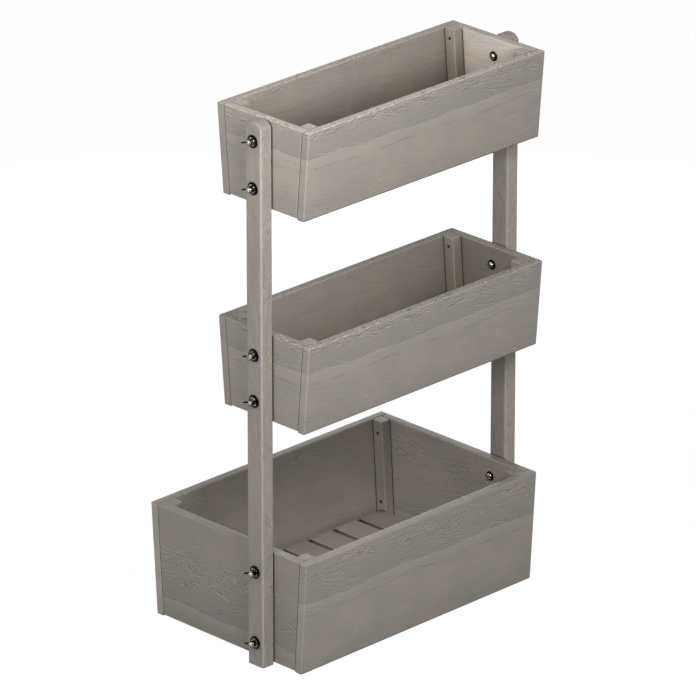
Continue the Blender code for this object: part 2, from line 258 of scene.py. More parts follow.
def grain_group():
    """The washed grain, laid out in millimetres: x along the grain, y down from the
    board's upper edge and z into its thickness. Slopes are in degrees, down to the right."""
    group = bpy.data.node_groups.new("washed_grain", "ShaderNodeTree")
    interface = group.interface
    interface.new_socket("Place", in_out="INPUT", socket_type="NodeSocketVector")
    for name, value in GRAIN_DEFAULTS.items():
        socket = interface.new_socket(name, in_out="INPUT", socket_type="NodeSocketFloat")
        socket.default_value = value
    for name, kind in (
            ("Colour", "NodeSocketColor"), ("Roughness", "NodeSocketFloat"),
            ("Relief", "NodeSocketFloat"), ("Damp", "NodeSocketFloat")):
        interface.new_socket(name, in_out="OUTPUT", socket_type=kind)
    add = functools.partial(add_node, group)
    smooth = {"interpolation_type": "SMOOTHSTEP"}
    given = add("NodeGroupInput").outputs

    def noise(place, lengths, slope=0.0, detail=1.0):
        """Noise whose features have these lengths, run at a slope."""
        stretched = add("ShaderNodeMapping", {
            "Vector": place, "Rotation": (0.0, 0.0, math.radians(slope)),
            "Scale": lengths}, vector_type="TEXTURE")
        return add("ShaderNodeTexNoise", {
            "Vector": stretched, "Scale": 1.0, "Detail": detail, "Roughness": 0.55})

    def marks(place, lengths, low, high, slope=0.0, detail=1.0):
        """Soft-edged marks, where the noise rises from low to high."""
        return add(RANGE, {
            "Value": noise(place, lengths, slope, detail),
            "From Min": low, "From Max": high}, **smooth)

    def patches(size, low, high):
        """Patches of about a size, longer than wide, to gather marks in."""
        return marks(given["Place"], (size, size * 0.6, size * 0.6), low, high)

    def strokes(lengths, slope, low, high):
        """Raised strokes: 1 on a stroke, a painted highlight, -1 just below it, a painted
        shadow, and 0 elsewhere.
        """
        below = add(VECTOR_MATH, {0: bent, 1: (0.0, lengths[1] * 0.55, 0.0)}, operation="ADD")
        return add(MATH, {
            0: marks(bent, lengths, low, high, slope, 2.0),
            1: marks(below, lengths, low, high, slope, 2.0)}, operation="SUBTRACT")

    def past(value, line, before, after):
        """Smooth rise from 0 to 1, from before to after a line."""
        beyond = add(MATH, {0: value, 1: line}, operation="SUBTRACT")
        return add(RANGE, {"Value": beyond, "From Min": before, "From Max": after}, **smooth)

    def within(pattern, *masks):
        """A pattern, held back by every mask in turn."""
        for mask in masks:
            pattern = add(MATH, {0: pattern, 1: mask}, operation="MULTIPLY")
        return pattern

    def fine_line(below_foot):
        """A thin broken line along the grain, so far below the band's foot."""
        line = add(MATH, {0: foot, 1: below_foot}, operation="ADD")
        off = add(MATH, {0: depth, 1: line}, operation="SUBTRACT")
        off = add(MATH, {0: off}, operation="ABSOLUTE")
        drawn = add(RANGE, {
            "Value": off, "From Min": 0.5, "From Max": 2.4, "To Min": 1.0, "To Max": 0.0},
            **smooth)
        return within(drawn, marks(given["Place"], (24, 12, 12), 0.40, 0.60))

    # everything wanders with the grain: a long wave, and a short one that follows it
    drift = bpy.context.scene.planter_wood.drift / MM
    ripple = drift * 0.22
    shift = -0.5 * (drift + ripple)
    for pattern, reach in (
            (noise(given["Place"], (190, 60, 60)), drift),
            (noise(given["Place"], (38, 14, 14), detail=2.0), ripple)):
        shift = add(MATH, {0: pattern, 1: reach, 2: shift}, operation="MULTIPLY_ADD")
    across = add("ShaderNodeCombineXYZ", {"Y": shift, "Z": shift})
    bent = add(VECTOR_MATH, {0: given["Place"], 1: across}, operation="ADD")
    depth = add("ShaderNodeSeparateXYZ", {0: bent}).outputs["Y"]

    # the cool band under the rim, its sharp foot, and the pale zone below it
    foot = given["Band Foot"]
    past_foot = past(depth, foot, -2.2, 2.2)
    in_band = add(MATH, {
        0: past(depth, given["Band Top"], -8.0, 10.0), 1: past_foot}, operation="SUBTRACT")
    deepening = add(RANGE, {
        "Value": depth, "From Min": given["Band Top"], "From Max": foot, "To Min": 0.4},
        **smooth)
    soft = noise(bent, (100, 6, 6), 6.0, 3.0)
    streaky = add(RANGE, {"Value": soft, "From Min": 0.15, "From Max": 0.60}, **smooth)
    cool = within(in_band, deepening, given["Band"], streaky)
    below_foot = add(MATH, {
        0: past_foot, 1: past(depth, foot, -6.0, 32.0)}, operation="SUBTRACT")
    pale = within(below_foot, given["Band"])

    # strokes standing proud near the rim, and flecks of them in a few stray patches: in the
    # colour each has a painted highlight on it and a painted shadow just below
    off_line = add(MATH, {0: depth, 1: given["Figure Line"]}, operation="SUBTRACT")
    off_line = add(MATH, {0: off_line}, operation="ABSOLUTE")
    beyond_reach = past(off_line, given["Figure Reach"], 0.0, 6.0)
    near_line = add(MATH, {0: 1.0, 1: beyond_reach}, operation="SUBTRACT")
    figure = within(
        strokes((17, 2.2, 2.2), -12.0, 0.49, 0.58), near_line, patches(56, 0.42, 0.52),
        given["Figure"])
    flecks = within(strokes((12, 1.7, 1.7), -7.0, 0.53, 0.64), patches(24, 0.54, 0.61), 0.6)
    raised_and_shaded = add(MATH, {0: figure, 1: flecks}, operation="ADD")

    # bundles of sloping streaks in the band, drawn with a painted highlight and shadow, light
    # fans and two thin lines under it
    bundled = add(MATH, {
        0: given["Streaks"], 1: 0.15, 2: within(in_band, given["Band"])},
        operation="MULTIPLY_ADD")
    bundles = within(strokes((52, 3.4, 3.4), 13.0, 0.50, 0.62), patches(64, 0.50, 0.60), bundled)
    fans = within(
        marks(bent, (60, 2.1, 2.1), 0.50, 0.66, 9.0), pale, patches(70, 0.38, 0.54))
    lines = add(MATH, {0: fine_line(-0.8), 1: fine_line(24.0)}, operation="ADD")
    lines = within(lines, given["Band"])

    # light and dark: each layer, its middle and its strength. The lowest 70 mm darken
    # towards a board's foot, and its last millimetres are a dark line that the paler edges skip
    hairs = noise(bent, (22, 0.55, 0.55), 1.0, 2.0)
    blotch = noise(given["Place"], (80, 60, 60), detail=2.0)
    streaks = add(MATH, {0: soft, 1: 0.5}, operation="SUBTRACT")
    straight = add("ShaderNodeSeparateXYZ", {0: given["Place"]}).outputs["Y"]
    foot_line = past(straight, given["Foot"], -3.6, -1.4)
    layers = (
        (within(streaks, given["Streaks"]), 0.0, 0.16),
        (noise(bent, (60, 3.4, 3.4), 10.0, 3.0), 0.5, 0.14),
        (noise(bent, (16, 1.5, 1.5), 2.0, 2.0), 0.5, 0.06),
        (hairs, 0.5, 0.14), (blotch, 0.5, 0.06), (raised_and_shaded, 0.0, 0.60),
        (bundles, 0.0, 0.26), (fans, 0.0, 0.20), (lines, 0.0, -0.20),
        (past(depth, given["Foot"], -70.0, 0.0), 0.0, -0.10), (foot_line, 0.0, -0.48))
    light = 1.0 - sum(middle * strength for layer, middle, strength in layers)
    for layer, middle, strength in layers:
        light = add(MATH, {0: layer, 1: strength, 2: light}, operation="MULTIPLY_ADD")
    light = within(light, given["Tone"])

    # painted light and shade: faces that look up, to the front and to the left are made lighter
    # or darker by a gain of their own
    normal = add("ShaderNodeNewGeometry").outputs["True Normal"]
    normal = add("ShaderNodeSeparateXYZ", {0: normal}).outputs
    for painted_light, axis, way in (("Rim", "Z", 1), ("Front", "Y", -1), ("Left", "X", -1)):
        gain = add(RANGE, {
            "Value": normal[axis], "From Min": 0.75 * way, "From Max": 0.92 * way,
            "To Min": 1.0, "To Max": given[painted_light]}, **smooth)
        light = within(light, gain)

    # the wash dried warmer, greener and redder in places
    mottle = noise(given["Place"], (46, 26, 26))
    tints = []
    for pattern, low, high, strength, tint in (
            (blotch, 0.35, 0.65, 1.00, "#9F978E"), (mottle, 0.52, 0.70, 0.40, "#92938B"),
            (mottle, 0.48, 0.30, 0.25, "#A3958F")):
        tints.append((add(RANGE, {
            "Value": pattern, "From Min": low, "From Max": high, "To Max": strength},
            **smooth), tint))
    colour = (*bpy.context.scene.planter_wood.plain, 1.0)
    for share, tint in (*tints, (cool, "#8D8984"), (pale, "#A09A93")):
        colour = add(MIX, {SHARE: share, UNDER: colour, OVER: linear(tint)}, data_type="RGBA")

    add("NodeGroupOutput", {
        "Colour": add(VECTOR_MATH, {0: colour, "Scale": light}, operation="SCALE"),
        "Roughness": add(MATH, {0: soft, 1: 0.18, 2: 0.52}, operation="MULTIPLY_ADD"),
        "Relief": add(
            MATH, {0: raised_and_shaded, 1: 0.7, 2: within(hairs, 0.10)}, operation="MULTIPLY_ADD"),
        "Damp": foot_line})
    return group


def washed_fir(name, rows, start, marks, edge=BOARD_EDGE, wear_and_highlight_share=1.0,
               crease=BOARD_CREASE, crest=False, box_shade=False):
    """Fir board, planed, stained grey and worn back by rubbing: a dull satin face with soft
    streaks, paler along an edge, partly bare wood and partly a painted highlight, with painted
    shade down in a joint."""
    wood = bpy.context.scene.planter_wood
    material, shader, add = new_material(name)
    place = add("ShaderNodeMapping", {
        "Vector": add("ShaderNodeTexCoord").outputs["Object"], "Location": start,
        "Rotation": Matrix(rows).to_euler(), "Scale": (1 / MM, 1 / MM, 1 / MM)})
    group = bpy.data.node_groups.get("washed_grain") or grain_group()
    grain = add("ShaderNodeGroup", {"Place": place, **marks}, node_tree=group).outputs

    # an edge shows where the normal of a rounded corner leaves the face's own, and gets paler,
    # partly as bare wood and partly as a painted highlight; a joint shows where the faces around
    # hide the open air, and gets painted shade
    rounded = add("ShaderNodeBevel", {"Radius": edge}, samples=6)
    own = add("ShaderNodeNewGeometry").outputs["True Normal"]
    alike = add(VECTOR_MATH, {0: rounded, 1: own}, operation="DOT_PRODUCT")
    worn_and_highlit = add(RANGE, {
        "Value": alike, "From Min": 0.99, "From Max": 0.86,
        "To Max": min(1.0, wood.wear_and_highlight * wear_and_highlight_share)})
    air = add("ShaderNodeAmbientOcclusion", {"Distance": crease}, samples=6).outputs["AO"]
    if crest:
        # a painted highlight: the crest of a rounded edge, where both ways share its normal, is
        # painted as a bright line
        turned = add("ShaderNodeSeparateXYZ", {0: rounded}).outputs
        both = add(MATH, {0: turned["X"], 1: turned["Y"]}, operation="MULTIPLY")
        both = add(MATH, {0: both}, operation="ABSOLUTE")
        line = add(RANGE, {
            "Value": both, "From Min": 0.40, "From Max": 0.50, "To Max": wood.wear_and_highlight * 0.7})
        worn_and_highlit = add(MATH, {0: worn_and_highlit, 1: line}, operation="MAXIMUM")
    exposed = add(RANGE, {"Value": air, "From Min": 0.80, "From Max": 0.97})
    # the paler edges stop at the dark line along the foot
    off_foot_line = add(MATH, {0: 1.0, 1: grain["Damp"]}, operation="SUBTRACT")
    for mask in (exposed, off_foot_line):
        worn_and_highlit = add(MATH, {0: worn_and_highlit, 1: mask}, operation="MULTIPLY")
    colour = add(MIX, {
        SHARE: worn_and_highlit, UNDER: grain["Colour"], OVER: linear("#CCC6BE")}, data_type="RGBA")
    # painted shade: the colour darkens in joints and creases, where the faces around hide the
    # open air
    crease_shade = add(RANGE, {"Value": air, "From Min": 0.40, "From Max": 0.88, "To Min": 0.12})
    colour = add(VECTOR_MATH, {0: colour, "Scale": crease_shade}, operation="SCALE")
    if box_shade:
        # painted shade: the colour darkens down in a narrow box, where the faces around hide the
        # open air
        inside = add(
            "ShaderNodeAmbientOcclusion", {"Distance": 0.3}, samples=6).outputs["AO"]
        inside = add(RANGE, {"Value": inside, "From Min": 0.24, "From Max": 0.37})
        box_shade_tint = add(MIX, {
            SHARE: inside, UNDER: linear("#B8AFA2"), OVER: linear("#FFFFFF")},
            data_type="RGBA")
        colour = add(VECTOR_MATH, {0: colour, 1: box_shade_tint}, operation="MULTIPLY")
    bump = add("ShaderNodeBump", {
        "Strength": 0.6, "Distance": wood.bump, "Height": grain["Relief"], "Normal": rounded})
    plug(material.node_tree, shader, {
        "Base Color": colour, "Roughness": grain["Roughness"], "Normal": bump,
        "Specular IOR Level": 0.35})
    return material


def dress_node(name, material):
    """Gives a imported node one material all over."""
    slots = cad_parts[name].data.materials
    slots.clear()
    slots.append(material)


class PLANTER_OT_boards(bpy.types.Operator):
    """Gives the front, back and end boards their washed fir"""
    bl_idname = "planter.boards"
    bl_label = "Boards"

    def execute(self, context):
        for index, tier in enumerate(TIERS):
            low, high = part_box(f"{tier}_front_board")
            rim = high.z / MM
            upper = tier != "lower"
            marks = {**(UPPER_MARKS if upper else LOWER_MARKS), "Foot": (high.z - low.z) / MM}
            # each board is cut from another stretch of the grain
            for number, face in enumerate(FACES):
                start = (420.0 * number + 35.0 * index, rim, 170.0 * number)
                own = {"Tone": LONG_TONE_AND_LIGHT[face][tier], "Rim": RIM_LIGHT[tier][number]}
                if face == "back":
                    own.update(BACK_MARKS)
                dress_node(f"{tier}_{face}_board", washed_fir(
                    f"washed_fir_{tier}_{face}", GRAIN_ALONG_X, start, {**marks, **own},
                    box_shade=upper))
            if not upper:
                marks.update(LOWER_END_MARKS)
            for number, side in enumerate(SIDES):
                start = (900.0 + 300.0 * number + 80.0 * index, rim, 60.0 * index)
                own = {"Tone": END_TONE_AND_LIGHT[tier], "Rim": RIM_LIGHT[tier][0]}
                if side == "right":
                    # the right end's inner face takes painted light and shade of its own
                    own["Left"] = INNER_LIGHT[tier]
                    own.update(UPPER_RIGHT_MARKS if upper else LOWER_RIGHT_MARKS)
                dress_node(f"{tier}_{side}_end_board", washed_fir(
                    f"washed_fir_{tier}_{side}_end", GRAIN_ALONG_Y, start, {**marks, **own},
                    box_shade=upper))
        return {"FINISHED"}


class PLANTER_OT_battens(bpy.types.Operator):
    """Gives the corner battens their washed fir"""
    bl_idname = "planter.battens"
    bl_label = "Battens"

    def execute(self, context):
        for index, tier in enumerate(TIERS):
            marks = {**STRIP_MARKS, "Rim": RIM_LIGHT[tier][0]}
            for number, side in enumerate(SIDES):
                for second, face in enumerate(FACES):
                    name = f"{tier}_batten_{face}_{side}"
                    start = (150.0 * index + 37.0 * number, 260.0 * second, 90.0 * number)
                    dress_node(name, washed_fir(
                        f"washed_fir_{name}", GRAIN_ALONG_Z, start, marks,
                        box_shade=tier != "lower"))
        return {"FINISHED"}


class PLANTER_OT_posts(bpy.types.Operator):
    """Gives the two posts their washed fir"""
    bl_idname = "planter.posts"
    bl_label = "Posts"

    def execute(self, context):
        for number, side in enumerate(SIDES):
            start = (77.0 * number, 500.0 * number, 40.0 * number)
            dress_node(f"post_{side}", washed_fir(
                f"washed_fir_post_{side}", GRAIN_ALONG_Z, start,
                {**POST_MARKS, "Tone": POST_TONE_AND_LIGHT[side]}, edge=POST_EDGE,
                wear_and_highlight_share=POST_WEAR_AND_HIGHLIGHT, crest=True))
        return {"FINISHED"}


class PLANTER_OT_floors(bpy.types.Operator):
    """Gives the slatted floors their washed fir"""
    bl_idname = "planter.floors"
    bl_label = "Floors"

    def execute(self, context):
        for number in range(1, 9):
            start = (211.0 * number, 60.0 * number, 13.0 * number)
            # neighbouring slats differ a little in tone
            marks = {**STRIP_MARKS, "Tone": 0.95 + 0.09 * math.sin(2.1 * number)}
            dress_node(f"lower_floor_slat_{number}", washed_fir(
                f"washed_fir_slat_{number}", SLAT_ALONG_Y, start, marks, crease=SLAT_CREASE))
        for index, tier in enumerate(TIERS[:2]):
            start = (90.0 * index, 40.0, 0.0)
            dress_node(f"{tier}_floor_rack", washed_fir(
                f"washed_fir_{tier}_rack", SLAT_ALONG_Y, start, STRIP_MARKS))
        return {"FINISHED"}


def plated_steel(name, body_colour, high, wear_and_highlight, rough):
    """Plated steel: its body colour, and a paler one on the edges and in patches, painted glints
    that also pass for thinned plating, both a little hazed by handling."""
    material, shader, add = new_material(name)
    place = add("ShaderNodeTexCoord").outputs["Object"]
    # patches of painted glint 3 mm wide, scuffs just under 1 mm, the finest that show
    glint_noise, scuffs = (
        add("ShaderNodeTexNoise", {"Vector": place, "Scale": per_metre, "Detail": 2.0})
        for per_metre in (330.0, 1200.0))
    # the edges, found by a rounded normal, also take the painted glint colour
    rounded = add("ShaderNodeBevel", {"Radius": 0.0011}, samples=6)
    own = add("ShaderNodeNewGeometry").outputs["Normal"]
    alike = add(VECTOR_MATH, {0: rounded, 1: own}, operation="DOT_PRODUCT")
    edges = add(RANGE, {"Value": alike, "From Min": 0.99, "From Max": 0.90})
    painted_light = add(RANGE, {
        "Value": glint_noise, "From Min": 0.64 - 0.3 * wear_and_highlight, "From Max": 0.69 - 0.3 * wear_and_highlight})
    bright = add(MATH, {0: edges, 1: painted_light}, operation="MAXIMUM")
    plug(material.node_tree, shader, {
        "Metallic": 1.0,
        "Base Color": add(MIX, {
            SHARE: bright, UNDER: linear(body_colour), OVER: linear(high)}, data_type="RGBA"),
        "Roughness": add(RANGE, {
            "Value": scuffs, "To Min": rough * 0.6, "To Max": rough * 1.5}),
        "Normal": add("ShaderNodeBump", {
            "Strength": 0.15, "Distance": 0.00005, "Height": scuffs})})
    return material


def black_nickel():
    """Cast zinc, black-nickel plated: near black, with hard white glints painted on its
    edges and in patches."""
    return plated_steel("black_nickel_painted_glints", "#12110F", "#E2DDD5", 0.30, 0.10)


def blackened_washer():
    """Stamped steel, oil blackened: an even, nearly black satin, a shade paler on its edges and
    in a few patches as a faint painted highlight.
    """
    return plated_steel("oil_blackened_steel", "#0C0B0A", "#1A1816", 0.0, 0.30)


def bright_nickel():
    """Turned steel, bright-nickel plated: warm white metal, a little dulled, with paler painted
    highlights on its edges and in patches.
    """
    return plated_steel("bright_nickel_steel", "#8E867C", "#D8D1C6", 0.5, 0.16)


def black_screw_steel():
    """Steel wood screw, phosphate blacked: matt and nearly black, mottled by its salts."""
    material, shader, add = new_material("blacked_screw_steel")
    place = add("ShaderNodeTexCoord").outputs["Object"]
    # grains of the coating, just over 1 mm: far coarser than real, so that they show
    mottle = add("ShaderNodeTexNoise", {"Vector": place, "Scale": 900.0, "Detail": 3.0})
    plug(material.node_tree, shader, {
        "Metallic": 0.8,
        "Base Color": add(MIX, {
            SHARE: mottle, UNDER: linear("#2B2724"), OVER: linear("#48423D")},
            data_type="RGBA"),
        "Roughness": add(RANGE, {"Value": mottle, "To Min": 0.35, "To Max": 0.6})})
    return material


def lathe(profile, steps):
    """A body turned about x from (x, radius) pairs, in millimetres. It is closed by the
    axis where it starts there, and otherwise by its own last edge."""
    bm = bmesh.new()
    points = [bm.verts.new((x, radius, 0)) for x, radius in profile]
    edges = [bm.edges.new(pair) for pair in zip(points, points[1:])]
    if profile[0][1] > 0:
        edges.append(bm.edges.new((points[-1], points[0])))
    bmesh.ops.spin(
        bm, geom=points + edges, cent=(0, 0, 0), axis=(1, 0, 0),
        angle=2 * math.pi, steps=steps, use_merge=True)
    bmesh.ops.remove_doubles(bm, verts=bm.verts, dist=0.001)
    bmesh.ops.recalc_face_normals(bm, faces=bm.faces)
    return bm


def dome(radius, high, edge, steps):
    """A profile from a dome's crown, at -high, down to the top of its edge."""
    angles = [math.pi / 2 * step / steps for step in range(steps + 1)]
    return [(-edge - (high - edge) * math.cos(angle), radius * math.sin(angle))
            for angle in angles]


def add_piece(name, bm, place, materials, body, smooth=40.0):
    """A finished piece from a bmesh in millimetres, its place baked into its mesh. Edges
    sharper than smooth, in degrees, stay crisp."""
    mesh = bpy.data.meshes.new(name)
    bm.to_mesh(mesh)
    bm.free()
    mesh.transform(place @ Matrix.Scale(MM, 4))
    for polygon in mesh.polygons:
        polygon.use_smooth = True
    if smooth:
        mesh.set_sharp_from_angle(angle=math.radians(smooth))
    for material in materials:
        mesh.materials.append(material)
    piece = bpy.data.objects.new(name, mesh)
    bpy.context.scene.collection.objects.link(piece)
    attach(piece, body)
    return piece


def washer(outer, thick):
    """A stamped washer: one side rolled over a little, the other with a small burr edge."""
    roll = WASHER_ROLL
    burr = 0.15
    return lathe((
        (0.0, WASHER_BORE), (0.0, outer - roll * 0.4), (roll * 0.4, outer),
        (thick - roll, outer), (thick - roll * 0.3, outer - roll * 0.3),
        (thick, outer - roll), (thick, WASHER_BORE + burr), (thick - burr, WASHER_BORE)),
        ROUND_STEPS)


def star_washer():
    """A toothed lock washer: a thin ring with its teeth each twisted to bite."""
    bm = lathe((
        (0.0, STAR_BORE), (0.0, STAR_RADIUS), (STAR_THICK, STAR_RADIUS),
        (STAR_THICK, STAR_BORE)), 2 * STAR_TEETH)
    middles = [(face, face.calc_center_median()) for face in bm.faces]
    rim = [(face, middle) for face, middle in middles if middle.yz.length > STAR_RADIUS - 0.2]
    rim.sort(key=lambda pair: math.atan2(pair[1].z, pair[1].y))
    for face, middle in rim[::2]:
        out = Vector((0.0, *middle.yz.normalized()))
        tooth = bmesh.ops.extrude_discrete_faces(bm, faces=[face])["faces"][0]
        corners = list(tooth.verts)
        bmesh.ops.translate(bm, verts=corners, vec=out * TOOTH_REACH)
        bmesh.ops.rotate(
            bm, verts=corners, cent=tooth.calc_center_median(),
            matrix=Matrix.Rotation(TOOTH_TWIST, 3, out))
    bmesh.ops.recalc_face_normals(bm, faces=bm.faces)
    return bm


def screw_thread(start, turns):
    """A raised helix round the shank, rooted just inside its core and closed at its ends."""
    bm = bmesh.new()
    root = THREAD_CORE - 0.1
    half = THREAD_PITCH * THREAD_FLANK
    corners = ((start - half, root), (start, THREAD_RADIUS), (start + half, root))
    points = [bm.verts.new((x, radius, 0)) for x, radius in corners]
    edges = [bm.edges.new((points[i], points[(i + 1) % 3])) for i in range(3)]
    bmesh.ops.spin(
        bm, geom=points + edges, cent=(0, 0, 0), axis=(1, 0, 0),
        dvec=(THREAD_PITCH / THREAD_STEPS, 0, 0), angle=2 * math.pi * turns,
        steps=THREAD_STEPS * turns, use_merge=False)
    bmesh.ops.holes_fill(bm, edges=[edge for edge in bm.edges if edge.is_boundary], sides=3)
    bmesh.ops.recalc_face_normals(bm, faces=bm.faces)
    return bm


def bolt(shank_end, turns):
    """Domed head, plain shank, cut thread and chamfered tip; x = 0 is the head's seat."""
    chamfer = 0.6
    thread_start = shank_end - turns * THREAD_PITCH - 1.0
    bm = lathe([
        *dome(HEAD_RADIUS, HEAD_HIGH, HEAD_EDGE, 8), (0.0, HEAD_RADIUS - 0.3),
        (0.0, THREAD_RADIUS), (thread_start - 0.8, THREAD_RADIUS), (thread_start, THREAD_CORE),
        (shank_end - chamfer, THREAD_CORE), (shank_end, THREAD_CORE - chamfer),
        (shank_end, 0.0)], ROUND_STEPS)
    thread = screw_thread(thread_start + 0.3, turns)
    joined = bpy.data.meshes.new("thread")
    thread.to_mesh(joined)
    thread.free()
    bm.from_mesh(joined)
    bpy.data.meshes.remove(joined)
    return bm


def wing_nut():
    """A cast wing nut; x = 0 is its seat on the lock washer. Subdivision rounds it."""
    bm = lathe(NUT_PROFILE, NUT_FACETS)
    half_facet = Matrix.Rotation(math.pi / NUT_FACETS, 3, "X")
    bmesh.ops.rotate(bm, verts=bm.verts, cent=(0, 0, 0), matrix=half_facet)
    for way in (-1, 1):
        bm.normal_update()
        grow_wing(bm, way)
    # the wings take the dark washer steel: only the boss carries the painted glints
    for face in bm.faces:
        face.material_index = int(abs(face.calc_center_median().y) > GLINT_REACH)
    bmesh.ops.recalc_face_normals(bm, faces=bm.faces)
    return bm


def grow_wing(bm, way):
    """Draws a block of the boss's facets out through the wing's sections."""
    foot, crown = WING_ROOT
    block = [
        face for face in bm.faces
        if way * face.normal.y > 0.85 and way * face.calc_center_median().y > 0
        and foot < face.calc_center_median().x < crown]
    for reach, low, high, thick in WING_SECTIONS:
        grown = bmesh.ops.extrude_face_region(bm, geom=block)["geom"]
        bmesh.ops.delete(bm, geom=block, context="FACES")
        block = [item for item in grown if isinstance(item, bmesh.types.BMFace)]
        rows = {}
        for item in grown:
            if isinstance(item, bmesh.types.BMVert):
                rows.setdefault(round(item.co.x, 2), []).append(item)
        for row, key in enumerate(sorted(rows)):
            height = low + (high - low) * row / (len(rows) - 1)
            columns = sorted(rows[key], key=lambda vert: vert.co.z)
            for column, vert in enumerate(columns):
                across = thick * (column / (len(columns) - 1) - 0.5)
                vert.co = Vector((height, way * reach, across))


def out_along_x(distance):
    """A move along a fastener's own axis, in millimetres."""
    return Matrix.Translation((distance * MM, 0, 0))


def set_nut(label, seat_place, cast, dark):
    """The flat washer, the lock washer and the wing nut of one bolt, on its post."""
    body = f"nut_{label}"
    disc = add_piece(
        f"washer_{label}", washer(NUT_WASHER_RADIUS, NUT_WASHER_THICK), seat_place, (dark,),
        body)
    star_place = seat_place @ out_along_x(NUT_WASHER_THICK + STAR_GAP)
    star = add_piece(f"star_washer_{label}", star_washer(), star_place, (cast,), body)
    nut = add_piece(
        f"wing_nut_piece_{label}", wing_nut(), star_place @ out_along_x(STAR_THICK),
        (cast, dark), body, smooth=None)
    rounded = nut.modifiers.new("cast_rounding", "SUBSURF")
    rounded.levels = 2
    rounded.render_levels = 2
    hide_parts(f"wing_nut_{label}")


def set_bolt(label, head_place, length, turns, dark, bright):
    """A bolt through the end board and the post, with the washer under its head."""
    flat = add_piece(
        f"head_washer_{label}", washer(HEAD_WASHER_RADIUS, HEAD_WASHER_THICK), head_place,
        (dark,), WOOD_BODY)
    rod = add_piece(f"bolt_piece_{label}", bolt(length, turns), head_place, (bright,), WOOD_BODY)
    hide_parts(f"bolt_{label}")


class PLANTER_OT_fasteners(bpy.types.Operator):
    """Makes the bolts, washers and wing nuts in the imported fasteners' places"""
    bl_idname = "planter.fasteners"
    bl_label = "Fasteners"

    def execute(self, context):
        turns = context.scene.planter_fasteners.thread_turns
        cast, dark, bright = black_nickel(), blackened_washer(), bright_nickel()
        labels = [(f"{tier}_{side}_{level}", side)
                  for tier in TIERS for side in SIDES for level in LEVELS]
        for label, side in labels:
            low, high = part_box(f"bolt_{label}")
            nut_low, nut_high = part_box(f"wing_nut_{label}")
            centre = (low + high) / 2
            if side == "left":
                outward, seat, tip, head = -1, nut_high.x, low.x, high.x
            else:
                outward, seat, tip, head = 1, nut_low.x, high.x, low.x
            # turned last, so the wings' pitch is the same seen from both ends
            turn = (Matrix.Rotation(WING_TILT, 4, "X")
                    @ Matrix.Rotation(math.pi if side == "left" else 0.0, 4, "Z"))
            set_nut(
                label, Matrix.Translation((seat, centre.y, centre.z)) @ turn, cast, dark)
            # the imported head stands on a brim, and the brim is the inner washer
            inner = head + outward * HEAD_BRIM * MM
            head_place = (Matrix.Translation((inner, centre.y, centre.z)) @ turn
                          @ out_along_x(-HEAD_WASHER_THICK))
            length = abs(tip - inner) / MM + HEAD_WASHER_THICK
            set_bolt(label, head_place, length, turns, dark, bright)
        return {"FINISHED"}


class PLANTER_OT_screws(bpy.types.Operator):
    """Sets the screws that hold the battens to the end boards"""
    bl_idname = "planter.screws"
    bl_label = "Batten screws"

    def execute(self, context):
        radius = context.scene.planter_fasteners.screw_radius / MM
        metal = black_screw_steel()
        half = BATTEN_WIDE / 2 * MM
        for tier, side, face in (
                (tier, side, face) for tier in TIERS for side in SIDES for face in FACES):
            low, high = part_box(f"{tier}_batten_{face}_{side}")
            board_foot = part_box(f"{tier}_{face}_board")[0].z
            # a batten leans with its board, so its middle moves out with height
            at_foot, at_rim = low.y + half, high.y - half
            if face == "front":
                at_foot, at_rim = at_rim, at_foot
            x, turn = (low.x, 0.0) if side == "right" else (high.x, math.pi)
            heights = (high.z - SCREW_BELOW_RIM[tier] * MM, board_foot + SCREW_ABOVE_FOOT * MM)
            for number, z in enumerate(heights):
                share = (z - low.z) / (high.z - low.z)
                spot = Matrix.Translation((x, at_foot + (at_rim - at_foot) * share, z))
                # a low domed head; x = 0 lies on the wood
                crown = dome(radius, SCREW_HIGH, SCREW_EDGE, 5)
                head = lathe([*crown, (0.0, radius), (0.0, 0.0)], ROUND_STEPS // 2)
                piece = add_piece(
                    f"screw_{tier}_{face}_{side}_{number}", head,
                    spot @ Matrix.Rotation(turn, 4, "Z"), (metal,), WOOD_BODY)
        return {"FINISHED"}


def seen_directly(tree):
    """1 for what the camera sees straight, in a mirror or through glass, and 0 for the
    light that falls on things."""
    path = add_node(tree, "ShaderNodeLightPath").outputs
    seen = path["Is Camera Ray"]
    for kind in ("Is Glossy Ray", "Is Transmission Ray"):
        seen = add_node(tree, MATH, {0: seen, 1: path[kind]}, operation="MAXIMUM")
    return seen


def pale_floor():
    """A sheet of matt white paper: plain white to the eye, with a faint soft shadow."""
    material, paper, add = new_material("white_paper_floor")
    place = add("ShaderNodeTexCoord").outputs["Object"]
    # the paper's tooth, about 6 mm across: far coarser than real
    tooth = add("ShaderNodeTexNoise", {"Vector": place, "Scale": 180.0, "Detail": 3.0})
    plug(material.node_tree, paper, {
        "Roughness": 0.9,
        "Base Color": add(MIX, {
            SHARE: tooth, UNDER: linear("#B4B4B4"), OVER: linear("#BABABA")},
            data_type="RGBA")})
    glow = add("ShaderNodeEmission", {"Strength": 1.06})
    # the little of the paper that is left carries the shadow
    share = add(MATH, {0: seen_directly(material.node_tree), 1: 0.92}, operation="MULTIPLY")
    both = add("ShaderNodeMixShader", {0: share, 1: paper, 2: glow})
    plug(material.node_tree, material.node_tree.nodes["Material Output"], {"Surface": both})
    return material


def add_floor():
    """A wide floor for the planter to stand on."""
    bm = bmesh.new()
    bmesh.ops.create_grid(bm, x_segments=8, y_segments=8, size=FLOOR_REACH)
    mesh = bpy.data.meshes.new("studio_floor")
    bm.to_mesh(mesh)
    bm.free()
    mesh.materials.append(pale_floor())
    floor = bpy.data.objects.new("studio_floor", mesh)
    bpy.context.scene.collection.objects.link(floor)


